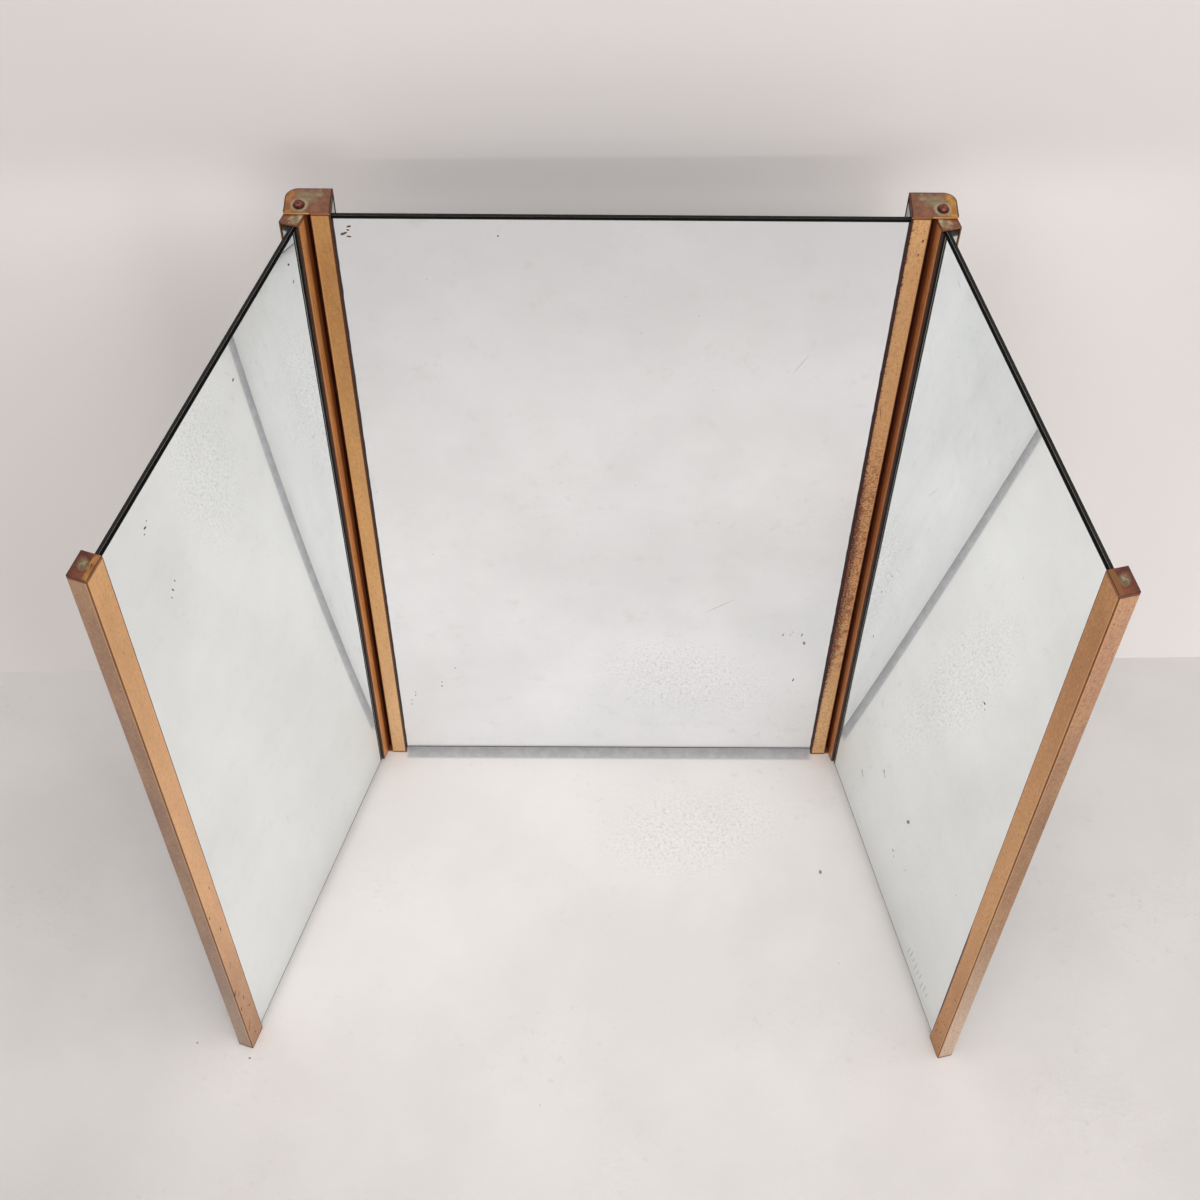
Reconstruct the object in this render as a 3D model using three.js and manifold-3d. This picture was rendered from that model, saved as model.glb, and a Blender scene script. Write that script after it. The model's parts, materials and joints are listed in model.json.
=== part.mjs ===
// Three panel floor mirror: a fixed centre mirror and two wings that swing on pivot pins.
// Every mirror stands between two upright brass channels. Millimetres, +Z up, -Y towards
// the person who looks into the centre mirror, origin on the floor under the middle of it all.
import * as THREE from 'three';
import { mergeVertices } from 'three/addons/utils/BufferGeometryUtils.js';
import Module from 'manifold-3d';

const wasm = await Module();
wasm.setup();

// ---------------------------------------------------------------- driving dimensions
const overallHeight = 1120;      // floor to the top of the hinge plates
const centreWidth = 660;         // outside to outside of the two centre posts
const wingWidth = 518;           // outside to outside of a wing's two posts
const leftWingFold = 71.7;       // degrees that the left wing is swung forward at rest
const rightWingFold = 76.2;      // degrees that the right wing is swung forward at rest

// Brass channels. The centre posts are narrow and deep, the wing posts wide and shallow.
const centrePostWidth = 22;
const centrePostDepth = 38;
const wingPostWidth = 32;
const wingPostDepth = 22;
const channelWall = 1.5;
const channelBend = 2.2;         // outside radius of the folded corners

// Mirror sandwich
const glassThickness = 4;
const glassArris = 0.5;          // ground edge of the glass
const backingThickness = 3;
const centreEdgeRoom = 6;        // outside of a centre post to the edge of the glass in it
const wingEdgeRoom = 12;         // the same in a wing post, which leaves room for the pin
const centreGlassLift = 14;      // floor to the bottom edge of the centre glass
const centreGlassDrop = 5;       // top of the centre posts to the top edge of the glass
const wingGlassLift = 10;        // floor to the bottom edge of a wing's glass

// Packing strip that clamps the sandwich against the front wall of its channel
const packingMouthSetback = 0.8; // from the mouth of the channel to the strip
const packingTopDrop = 9;        // from the top of the channel to the strip
const packingChamfer = 0.8;

// Hinge plates, caps and pivots
const hingePlateThickness = 3;
const capThickness = 2.5;
const plateEdge = 0.4;           // filed edge of the plates and caps
const earReach = 28;             // how far a hinge plate's ear stands out from its post
const earSetback = 1;            // front edge of the ear behind the front of the post
const earBackRadius = 14;
const earFrontRadius = 2;
const pivotOut = 12;             // pin axis to the outside of the centre post
const pivotBack = 12.5;          // pin axis behind the front of the centre post
const pivotFromWingEnd = 6;      // pin axis to the hinge end of the wing
const pivotFromWingFront = 9.5;  // pin axis to the front of the wing
const pinRadius = 3;
const pinHeadRadius = 5;
const pinHeadHeight = 5;
const pinHeadDome = 2.6;         // part of the head's height that is rounded over
const pinTail = 5;               // pin that stands into the wing's post past its cap
const pinTip = 0.7;              // chamfer at the end of a pin
const washerRadius = 5.2;
const washerThickness = 0.8;

// Clearances
const fit = 0.3;                 // between pieces that touch side by side
const turnGap = 0.2;             // between flat faces that turn on each other

// ---------------------------------------------------------------- levels and places
const centreTop = overallHeight - hingePlateThickness;
const hingeStack = hingePlateThickness + washerThickness + 2 * turnGap;
const wingTop = overallHeight - hingeStack;       // top of the wing's caps
const wingChannelTop = wingTop - capThickness;
const halfCentre = centreWidth / 2;
const wingFront = -pivotFromWingFront;            // in the wing's frame, with the pin at 0, 0
const wingHingeEnd = -pivotFromWingEnd;
const wingFreeEnd = wingHingeEnd + wingWidth;
const sides = [['left', -1], ['right', 1]];

// ---------------------------------------------------------------- materials
const finish = (color, roughness, metalness) =>
  new THREE.MeshStandardMaterial({ color, roughness, metalness });
const postBrass = finish(0xc2965f, 0.42, 0.9);
const plateBrass = finish(0x8f6544, 0.55, 0.85);
const pinCopper = finish(0x7a4a3a, 0.5, 0.85);
const washerBrass = finish(0xb08a4e, 0.45, 0.9);
const mirrorGlass = finish(0xd9dedb, 0.05, 1.0);
const blackBoard = finish(0x1c1a19, 0.85, 0.0);
const greyTimber = finish(0xb9b5ad, 0.8, 0.0);
const rubber = finish(0x2a2927, 0.9, 0.0);

// ---------------------------------------------------------------- outlines and solids
const arcSteps = 4;
const roundSides = 32;

// Points of an arc about (x, y), from one angle to another in degrees.
function arc(x, y, radius, from, to, steps = arcSteps) {
  const points = [];
  for (let i = 0; i <= steps; i += 1) {
    const angle = THREE.MathUtils.degToRad(from + ((to - from) * i) / steps);
    points.push([x + radius * Math.cos(angle), y + radius * Math.sin(angle)]);
  }
  return points;
}

function outline(points) {
  return new THREE.Shape(points.map(([x, y]) => new THREE.Vector2(x, y)));
}

// An upright solid of one outline. An edge takes that much off its upper and lower rims.
function upright(shape, height, edge = 0) {
  const geometry = new THREE.ExtrudeGeometry(shape, {
    depth: height - 2 * edge,
    bevelEnabled: edge > 0,
    bevelThickness: edge,
    bevelSize: edge,
    bevelOffset: -edge,
    bevelSegments: 1,
  });
  return geometry.translate(0, 0, edge);
}

function toManifold(geometry) {
  const bare = geometry.clone().deleteAttribute('normal').deleteAttribute('uv');
  const merged = mergeVertices(bare, 1e-4);
  return new wasm.Manifold(new wasm.Mesh({
    numProp: 3,
    vertProperties: new Float32Array(merged.attributes.position.array),
    triVerts: new Uint32Array(merged.index.array),
  }));
}

// Upright hole drilled right through a plate at (x, y).
function drill(plate, x, y, radius, height) {
  const bit = new THREE.CylinderGeometry(radius, radius, 3 * height, roundSides);
  bit.rotateX(Math.PI / 2).translate(x, y, height / 2);
  const mesh = toManifold(plate).subtract(toManifold(bit)).getMesh();
  const drilled = new THREE.BufferGeometry();
  drilled.setAttribute('position', new THREE.BufferAttribute(mesh.vertProperties, 3));
  drilled.setIndex(new THREE.BufferAttribute(mesh.triVerts, 1));
  return drilled;
}

function addPiece(group, name, geometry, material, bottom) {
  const mesh = new THREE.Mesh(geometry, material);
  mesh.name = name;
  mesh.position.z = bottom;
  group.add(mesh);
}

// Rectangle between two x and two y values, in either order, with chamfered corners.
function block(x0, x1, y0, y1, chamfer = 0) {
  const [left, right] = [Math.min(x0, x1), Math.max(x0, x1)];
  const [front, back] = [Math.min(y0, y1), Math.max(y0, y1)];
  if (chamfer === 0) return outline([[left, front], [right, front], [right, back], [left, back]]);
  return outline([
    [left + chamfer, front], [right - chamfer, front],
    [right, front + chamfer], [right, back - chamfer],
    [right - chamfer, back], [left + chamfer, back],
    [left, back - chamfer], [left, front + chamfer],
  ]);
}

// A post is described by where its mouth is and which way its closed side lies from there.
// The mouth is the open side of the channel, where the glass goes in.
function postFrame(mouth, towardsWall, front, width, depth) {
  const x = (distance) => mouth + towardsWall * distance;
  return { x, front, back: front + depth, width };
}

// Folded channel: front wall, closed side and rear wall, open at the mouth.
function channel(post) {
  const { x, front, back, width } = post;
  const inner = channelBend - channelWall;
  const section = [
    [0, front],
    ...arc(width - channelBend, front + channelBend, channelBend, -90, 0),
    ...arc(width - channelBend, back - channelBend, channelBend, 0, 90),
    [0, back],
    [0, back - channelWall],
    ...arc(width - channelBend, back - channelBend, inner, 90, 0, 2),
    ...arc(width - channelBend, front + channelBend, inner, 0, -90, 2),
    [0, front + channelWall],
  ];
  return outline(section.map(([u, v]) => [x(u), v]));
}

// Faces of the mirror sandwich, counted back from the front of the frame it stands in.
function sandwich(front) {
  const glassFront = front + channelWall + fit;
  const glassBack = glassFront + glassThickness;
  const boardFront = glassBack + fit;
  const boardBack = boardFront + backingThickness;
  return { glassFront, glassBack, boardFront, boardBack };
}

// Glass and its backing board, standing between two edges.
function addMirror(group, name, edge0, edge1, front, bottom, top) {
  const { glassFront, boardFront } = sandwich(front);
  const height = top - bottom;
  const width = Math.abs(edge1 - edge0);
  const middle = (edge0 + edge1) / 2;
  const pane = (thickness, faceFront, arris) => {
    const shape = block(-width / 2, width / 2, 0, height);
    const geometry = upright(shape, thickness, arris);
    geometry.rotateX(Math.PI / 2);
    return geometry.translate(middle, faceFront + thickness, 0);
  };
  addPiece(group, `${name}_mirror_glass`, pane(glassThickness, glassFront, glassArris), mirrorGlass, bottom);
  addPiece(group, `${name}_backing_board`, pane(backingThickness, boardFront, 0), blackBoard, bottom);
}

// What every post holds: the channel, the packing strip behind the glass and the block under it.
function addPost(group, name, post, levels, edgeRoom) {
  const { x, front, back, width } = post;
  const { bottom, top, floorOfPost, glassBottom } = levels;
  const { glassFront, boardBack } = sandwich(front);
  addPiece(group, `${name}_post`, upright(channel(post), top - bottom), postBrass, bottom);

  const packingTop = top - packingTopDrop;
  const packing = block(
    x(packingMouthSetback), x(width - edgeRoom),
    boardBack + fit, back - channelWall - fit, packingChamfer,
  );
  addPiece(group, `${name}_packing_strip`, upright(packing, packingTop - floorOfPost), greyTimber, floorOfPost);

  const setting = block(x(packingMouthSetback), x(width - edgeRoom), glassFront, boardBack);
  addPiece(group, `${name}_setting_block`, upright(setting, glassBottom - floorOfPost), rubber, floorOfPost);
}

// Cap that closes the end of a wing post. The hinge post's caps are drilled for the pin.
function addCap(group, name, post, bottom, isHinge) {
  const blank = upright(capOutline(post), capThickness, plateEdge);
  const cap = isHinge ? drill(blank, 0, 0, pinRadius + fit, capThickness) : blank;
  addPiece(group, name, cap, plateBrass, bottom);
}

function capOutline({ x, front, back, width }) {
  const bend = channelBend;
  const section = [
    [0, front],
    ...arc(width - bend, front + bend, bend, -90, 0),
    ...arc(width - bend, back - bend, bend, 0, 90),
    [0, back],
  ];
  return outline(section.map(([u, v]) => [x(u), v]));
}

// Plate on the end of a centre post, with the ear that carries the wing's pin.
function hingePlate(side) {
  const inside = halfCentre - centrePostWidth;
  const earEnd = halfCentre + earReach;
  const back = centrePostDepth;
  const section = [
    [inside, 0],
    ...arc(halfCentre - channelBend, channelBend, channelBend, -90, 0),
    [halfCentre, earSetback],
    ...arc(earEnd - earFrontRadius, earSetback + earFrontRadius, earFrontRadius, -90, 0),
    ...arc(earEnd - earBackRadius, back - earBackRadius, earBackRadius, 0, 90, 3 * arcSteps),
    [inside, back],
  ];
  const blank = upright(outline(section.map(([u, v]) => [side * u, v])), hingePlateThickness, plateEdge);
  return drill(blank, side * (halfCentre + pivotOut), pivotBack, pinRadius + fit, hingePlateThickness);
}

// Turned solid about the pin's axis, from a profile of radius and height.
function turned(profile) {
  const points = profile.map(([radius, height]) => new THREE.Vector2(radius, height));
  return new THREE.LatheGeometry(points, roundSides).rotateX(Math.PI / 2);
}

// Top pin: head on the ear, rounded over on top, shank down through ear, washer and cap into the post.
function topPin() {
  const length = hingeStack + capThickness + pinTail;
  const domeBase = turnGap + pinHeadHeight - pinHeadDome;
  const head = arc(0, 0, 1, 0, 90, 2 * arcSteps)
    .map(([across, up]) => [pinHeadRadius * across, domeBase + pinHeadDome * up]);
  return turned([
    [0, -length], [pinRadius - pinTip, -length], [pinRadius, -length + pinTip],
    [pinRadius, turnGap], [pinHeadRadius, turnGap],
    ...head.slice(0, -1),
    [0, turnGap + pinHeadHeight],
  ]);
}

// Bottom pin: riveted flush in the lower ear, standing up through washer and cap.
function bottomPin() {
  const length = hingeStack + capThickness + pinTail;
  return turned([
    [0, fit], [pinRadius, fit],
    [pinRadius, length - pinTip], [pinRadius - pinTip, length], [0, length],
  ]);
}

function washer() {
  const bore = pinRadius + fit;
  return turned([
    [bore, 0], [washerRadius, 0], [washerRadius, washerThickness], [bore, washerThickness], [bore, 0],
  ]);
}

// ---------------------------------------------------------------- centre panel
function makeCentre() {
  const centre = new THREE.Group();
  const edge = halfCentre - centreEdgeRoom;
  addMirror(centre, 'centre', -edge, edge, 0, centreGlassLift, centreTop - centreGlassDrop);
  const levels = {
    bottom: hingePlateThickness,
    top: centreTop,
    floorOfPost: hingePlateThickness,
    glassBottom: centreGlassLift,
  };
  for (const [name, side] of sides) {
    const mouth = side * (halfCentre - centrePostWidth);
    const post = postFrame(mouth, side, 0, centrePostWidth, centrePostDepth);
    addPost(centre, `${name}_centre`, post, levels, centreEdgeRoom);

    addPiece(centre, `${name}_top_hinge_plate`, hingePlate(side), plateBrass, centreTop);
    addPiece(centre, `${name}_bottom_hinge_plate`, hingePlate(side), plateBrass, 0);

    const pivot = new THREE.Group();
    pivot.position.set(side * (halfCentre + pivotOut), pivotBack, 0);
    addPiece(pivot, `${name}_top_hinge_pin`, topPin(), pinCopper, overallHeight);
    addPiece(pivot, `${name}_bottom_hinge_pin`, bottomPin(), pinCopper, 0);
    const lowerSeat = hingePlateThickness + turnGap;
    const upperSeat = centreTop - turnGap - washerThickness;
    addPiece(pivot, `${name}_top_hinge_washer`, washer(), washerBrass, upperSeat);
    addPiece(pivot, `${name}_bottom_hinge_washer`, washer(), washerBrass, lowerSeat);
    centre.add(pivot);
  }
  return centre;
}

// ---------------------------------------------------------------- wings
// A wing is drawn with its pin at 0, 0 and its free end away from the centre panel.
function makeWing(name, side, fold) {
  const wing = new THREE.Group();
  const edge0 = side * (wingHingeEnd + wingEdgeRoom);
  const edge1 = side * (wingFreeEnd - wingEdgeRoom);
  addMirror(wing, name, edge0, edge1, wingFront, wingGlassLift, wingChannelTop - turnGap);

  const hingeMouth = side * (wingHingeEnd + wingPostWidth);
  const outerMouth = side * (wingFreeEnd - wingPostWidth);
  const hingePost = postFrame(hingeMouth, -side, wingFront, wingPostWidth, wingPostDepth);
  const outerPost = postFrame(outerMouth, side, wingFront, wingPostWidth, wingPostDepth);
  const ends = [
    ['hinge', hingePost, hingeStack],
    ['outer', outerPost, 0],
  ];
  for (const [end, post, stand] of ends) {
    const isHinge = end === 'hinge';
    const bottom = stand + capThickness;
    const levels = { bottom, top: wingChannelTop, floorOfPost: bottom, glassBottom: wingGlassLift };
    addPost(wing, `${name}_${end}`, post, levels, wingEdgeRoom);
    addCap(wing, `${name}_${end}_top_cap`, post, wingChannelTop, isHinge);
    addCap(wing, `${name}_${end}_bottom_cap`, post, stand, isHinge);
  }
  wing.position.set(side * (halfCentre + pivotOut), pivotBack, 0);
  wing.rotation.z = -side * THREE.MathUtils.degToRad(fold);
  return wing;
}

// ---------------------------------------------------------------- the whole mirror
const mirror = new THREE.Group();
mirror.add(makeCentre());
mirror.add(makeWing('left_wing', -1, leftWingFold));
mirror.add(makeWing('right_wing', 1, rightWingFold));

// The origin goes to the middle of the footprint.
const middle = new THREE.Box3().setFromObject(mirror, true).getCenter(new THREE.Vector3());
mirror.position.set(-middle.x, -middle.y, 0);

export default mirror;
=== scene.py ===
# The looks of the three panel floor mirror: aged brass channels, silvered glass with dark edges,
# black boards, putty beads, riveted hinge pins, a pale floor and wall, soft light and the camera.
import json
import math

import bpy
from mathutils import Matrix, Vector


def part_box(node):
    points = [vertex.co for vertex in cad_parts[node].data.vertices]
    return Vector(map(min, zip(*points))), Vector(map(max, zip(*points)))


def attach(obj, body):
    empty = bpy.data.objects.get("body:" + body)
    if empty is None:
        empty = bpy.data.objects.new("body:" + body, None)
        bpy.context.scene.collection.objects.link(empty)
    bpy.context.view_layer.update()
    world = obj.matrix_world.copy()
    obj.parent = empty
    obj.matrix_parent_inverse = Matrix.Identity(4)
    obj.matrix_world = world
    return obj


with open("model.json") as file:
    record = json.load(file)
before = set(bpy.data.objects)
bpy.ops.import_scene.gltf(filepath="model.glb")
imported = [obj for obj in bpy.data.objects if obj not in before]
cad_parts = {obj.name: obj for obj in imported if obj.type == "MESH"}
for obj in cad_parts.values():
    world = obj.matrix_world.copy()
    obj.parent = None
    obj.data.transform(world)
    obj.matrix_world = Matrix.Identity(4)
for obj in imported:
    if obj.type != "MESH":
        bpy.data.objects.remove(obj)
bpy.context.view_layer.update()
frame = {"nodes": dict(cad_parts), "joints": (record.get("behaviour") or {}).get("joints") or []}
nodes = frame["nodes"]

MM = 0.001
PINS = [Vector(joint["pos_m"]) for joint in frame["joints"]]
PIN_MIDDLE = (PINS[0] + PINS[1]) / 2
PIN_MIDDLE.z = 0


# ---------------------------------------------------------------- places, read from the frame
def middle_of(node):
    low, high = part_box(node)
    return (low + high) / 2


def wing_run(side):
    """Level unit vector from the hinge of a wing to its free end."""
    run = middle_of(f"{side}_wing_outer_packing_strip") - middle_of(f"{side}_wing_hinge_packing_strip")
    run.z = 0
    return run.normalized()


class Place:
    """Corner of a piece and its three directions: along, back and up, each from zero."""

    def __init__(self, node, along, back):
        points = [vertex.co for vertex in nodes[node].data.vertices]
        self.along = along
        self.back = back
        reach_along = [point.dot(along) for point in points]
        reach_back = [point.dot(back) for point in points]
        levels = [point.z for point in points]
        low = (min(reach_along), min(reach_back), min(levels))
        self.size = (max(reach_along) - low[0], max(reach_back) - low[1], max(levels) - low[2])
        self.corner = along * low[0] + back * low[1] + Vector((0, 0, low[2]))
        self.turn = math.atan2(along.y, along.x)
        self.handed = 1 if along.cross(back).z > 0 else -1

    def point(self, along, back, up):
        return self.corner + self.along * along + self.back * back + Vector((0, 0, up))


def place_of(node):
    """Place whose along runs from a post's closed side to its mouth, or from a glass's first edge."""
    side = "left" if node.startswith("left") else "right"
    outward = -1 if side == "left" else 1
    if node.startswith("centre"):
        return Place(node, Vector((1, 0, 0)), Vector((0, 1, 0)))
    if "_wing_" not in node:
        return Place(node, Vector((-outward, 0, 0)), Vector((0, 1, 0)))
    run = wing_run(side)
    back = Vector((run.y, -run.x, 0)) * -outward
    return Place(node, -run if "_outer_" in node else run, back)


# ---------------------------------------------------------------- node trees
class Finish:
    """One material and the short calls that its node tree is written with."""

    def __init__(self, name):
        self.material = bpy.data.materials.new(name)
        self.material.use_nodes = True
        self.nodes = self.material.node_tree.nodes
        self.links = self.material.node_tree.links
        self.skin = self.nodes["Principled BSDF"]
        self.output = self.nodes["Material Output"]
        self.coordinates = self.nodes.new("ShaderNodeTexCoord")
        self.everywhere = self.coordinates.outputs["Object"]
        self.colour = None

    def put(self, socket, value):
        if isinstance(value, bpy.types.NodeSocket):
            self.links.new(value, socket)
        elif isinstance(value, tuple) and len(value) == 3 and socket.type == "RGBA":
            socket.default_value = (*value, 1)
        else:
            socket.default_value = value

    def set(self, **sockets):
        """Set inputs of the shader, whose names are written with underscores for spaces."""
        for name, value in sockets.items():
            self.put(self.skin.inputs[name.replace("_", " ")], value)

    def math(self, operation, first, second=0.0):
        node = self.nodes.new("ShaderNodeMath")
        node.operation = operation
        self.put(node.inputs[0], first)
        self.put(node.inputs[1], second)
        return node.outputs[0]

    def times(self, *values):
        product = values[0]
        for value in values[1:]:
            product = self.math("MULTIPLY", product, value)
        return product

    def most(self, *values):
        largest = values[0]
        for value in values[1:]:
            largest = self.math("MAXIMUM", largest, value)
        return largest

    def inverse(self, value):
        return self.math("SUBTRACT", 1.0, value)

    def step(self, value, start, end):
        """0 up to start and 1 from end on, smooth between; start may lie above end."""
        node = self.nodes.new("ShaderNodeMapRange")
        node.interpolation_type = "SMOOTHSTEP"
        falling = start > end
        self.put(node.inputs["Value"], value)
        self.put(node.inputs["From Min"], end if falling else start)
        self.put(node.inputs["From Max"], start if falling else end)
        self.put(node.inputs["To Min"], 1.0 if falling else 0.0)
        self.put(node.inputs["To Max"], 0.0 if falling else 1.0)
        return node.outputs["Result"]

    def near_end(self, value, end, reach):
        """0 up to the first reach before the end, and 1 from the second on."""
        return self.step(value, end - reach[0], end - reach[1])

    def band(self, value, start, end, soft):
        """1 between start and end, falling to 0 over a soft width outside them."""
        return self.times(self.step(value, start - soft, start), self.step(value, end + soft, end))

    def blend(self, below, above, amount):
        node = self.nodes.new("ShaderNodeMix")
        node.data_type = "RGBA"
        self.put(node.inputs["Factor"], amount)
        self.put(node.inputs[6], below)
        self.put(node.inputs[7], above)
        return node.outputs[2]

    def lay(self, tone):
        """Start the colour with a tone, given from 0 to 255 or as a socket."""
        self.colour = tone if isinstance(tone, bpy.types.NodeSocket) else rgb(*tone)

    def coat(self, tone, amount):
        """Blend a tone, given from 0 to 255 or as a socket, over the colour so far."""
        above = tone if isinstance(tone, bpy.types.NodeSocket) else rgb(*tone)
        self.colour = self.blend(self.colour, above, amount)

    def mix(self, first, second, amount):
        """A tone between two that are given from 0 to 255."""
        return self.blend(rgb(*first), rgb(*second), amount)

    def wobble(self, value, grain, reach):
        """A length that a grain moves by up to half the reach either way."""
        return self.math("ADD", value, self.times(self.math("SUBTRACT", grain, 0.5), reach))

    def noise(self, vector, scale, detail=3.0, roughness=0.55, stretch=(1, 1, 1), offset=(0, 0, 0)):
        mapping = self.nodes.new("ShaderNodeMapping")
        self.put(mapping.inputs["Vector"], vector)
        mapping.inputs["Scale"].default_value = stretch
        mapping.inputs["Location"].default_value = offset
        node = self.nodes.new("ShaderNodeTexNoise")
        self.put(node.inputs["Vector"], mapping.outputs["Vector"])
        self.put(node.inputs["Scale"], scale)
        self.put(node.inputs["Detail"], detail)
        self.put(node.inputs["Roughness"], roughness)
        return node.outputs["Fac"]

    def pits(self, vector, scale, radius, share=1.0, seed=0.0):
        """Round spots, one in each cell, of which only a share is kept."""
        mapping = self.nodes.new("ShaderNodeMapping")
        self.put(mapping.inputs["Vector"], vector)
        mapping.inputs["Location"].default_value = (seed, seed, seed)
        node = self.nodes.new("ShaderNodeTexVoronoi")
        self.put(node.inputs["Vector"], mapping.outputs["Vector"])
        self.put(node.inputs["Scale"], scale)
        apart = self.nodes.new("ShaderNodeSeparateColor")
        self.put(apart.inputs[0], node.outputs["Color"])
        kept = self.math("LESS_THAN", apart.outputs[0], share)
        return self.times(self.step(node.outputs["Distance"], radius, radius * 0.55), kept)

    def plane(self, first, second):
        node = self.nodes.new("ShaderNodeCombineXYZ")
        self.put(node.inputs[0], first)
        self.put(node.inputs[1], second)
        return node.outputs[0]

    def mark(self, plane, centre, half, turn=0.0, soft=0.4, grain=None, ragged=0.0):
        """Soft ellipse on a plane, in millimetres, whose edge a grain may make ragged."""
        mapping = self.nodes.new("ShaderNodeMapping")
        mapping.vector_type = "TEXTURE"
        self.put(mapping.inputs["Vector"], plane)
        mapping.inputs["Location"].default_value = (centre[0] * MM, centre[1] * MM, 0)
        mapping.inputs["Rotation"].default_value = (0, 0, turn)
        mapping.inputs["Scale"].default_value = (half[0] * MM, half[1] * MM, 1)
        length = self.nodes.new("ShaderNodeVectorMath")
        length.operation = "LENGTH"
        self.put(length.inputs[0], mapping.outputs["Vector"])
        reach = length.outputs["Value"]
        if grain is not None:
            swing = self.times(self.math("SUBTRACT", grain, 0.5), ragged)
            reach = self.math("ADD", reach, swing)
        return self.step(reach, 1.0, 1.0 - soft)

    def scratch(self, plane, start, end, half_width):
        """Thin soft mark from one point of a plane to another, in millimetres."""
        run = (end[0] - start[0], end[1] - start[1])
        middle = ((start[0] + end[0]) / 2, (start[1] + end[1]) / 2)
        half = (math.hypot(*run) / 2, half_width)
        return self.mark(plane, middle, half, math.atan2(run[1], run[0]), 0.6)

    def bump(self, height, strength, distance=0.0002):
        node = self.nodes.new("ShaderNodeBump")
        self.put(node.inputs["Height"], height)
        self.put(node.inputs["Strength"], strength)
        self.put(node.inputs["Distance"], distance)
        self.put(self.skin.inputs["Normal"], node.outputs["Normal"])

    def turned(self, output, place, corner):
        """A coordinate output seen along a piece's own directions, from its corner."""
        mapping = self.nodes.new("ShaderNodeMapping")
        mapping.vector_type = "TEXTURE"
        self.put(mapping.inputs["Vector"], self.coordinates.outputs[output])
        mapping.inputs["Location"].default_value = corner
        mapping.inputs["Rotation"].default_value = (0, 0, place.turn)
        mapping.inputs["Scale"].default_value = (1, place.handed, 1)
        return mapping.outputs["Vector"]

    def local(self, place):
        """A piece's own along, back and up, in metres."""
        return self.turned("Object", place, place.corner)

    def facing(self, place):
        """How far a face looks along, back and up, from -1 to 1."""
        return self.turned("Normal", place, (0, 0, 0))

    def parts(self, vector):
        node = self.nodes.new("ShaderNodeSeparateXYZ")
        self.put(node.inputs[0], vector)
        return node.outputs[0], node.outputs[1], node.outputs[2]


class PieceFinish(Finish):
    """Finish of one piece of the mirror, with its own directions and faces at hand."""

    def __init__(self, node, ending):
        super().__init__(node + ending)
        self.place = place_of(node)
        self.width, self.depth, self.tall = self.place.size
        self.here = self.local(self.place)
        self.along, self.back, self.up = self.parts(self.here)
        self.face_along, self.face_back, self.face_up = self.parts(self.facing(self.place))

    def from_floor(self, spot):
        """Point of the piece's front, in millimetres, for one that is measured up from the floor."""
        return spot[0], spot[1] - self.place.corner.z / MM


def wear(node, material):
    mesh = nodes[node].data
    mesh.materials.clear()
    mesh.materials.append(material)


def rgb(red, green, blue):
    """Linear colour of an sRGB triple from 0 to 255."""
    def linear(value):
        share = value / 255
        return share / 12.92 if share <= 0.04045 else ((share + 0.055) / 1.055) ** 2.4
    return tuple(linear(value) for value in (red, green, blue))


# ---------------------------------------------------------------- aged brass of the posts
# Tones of the front and of the closed side, each at the top, the middle and the foot, and how
# speckled the brass is, from 0 to 1.
BRASS = {
    "left_centre_post": {
        "front": ((200, 146, 86), (230, 178, 116), (242, 200, 150)),
        "side": ((150, 92, 54),) * 3,
        "speckled": 0.3,
    },
    "right_centre_post": {
        "front": ((240, 188, 132), (230, 172, 120), (246, 200, 144)),
        "side": ((150, 92, 54),) * 3,
        "speckled": 1.0,
    },
    # The hinge posts' fronts are painted lighter, as painted light against the shade that falls between
    # the panels.
    "left_wing_hinge_post": {
        "front": ((252, 186, 112), (250, 176, 102), (244, 172, 100)),
        "side": ((112, 42, 12),) * 3,
        "speckled": 0.3,
    },
    "right_wing_hinge_post": {
        "front": ((208, 136, 80), (202, 128, 72), (208, 136, 80)),
        "side": ((90, 36, 16),) * 3,
        "speckled": 0.3,
    },
    "left_wing_outer_post": {
        "front": ((242, 186, 126), (248, 194, 142), (192, 144, 108)),
        "side": ((182, 146, 122), (168, 138, 120), (166, 148, 134)),
        "speckled": 0.3,
    },
    "right_wing_outer_post": {
        "front": ((200, 138, 76), (224, 166, 102), (194, 134, 76)),
        "side": ((222, 172, 138), (178, 138, 106), (230, 204, 182)),
        "speckled": 0.8,
    },
}

# Shares of a post's height between which the foot's tone turns into the middle's, and the middle's
# into the top's.
FRONT_TURNS = ((0.02, 0.5), (0.45, 0.97))
SIDE_TURNS = ((0.04, 0.45), (0.6, 0.95))

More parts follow.
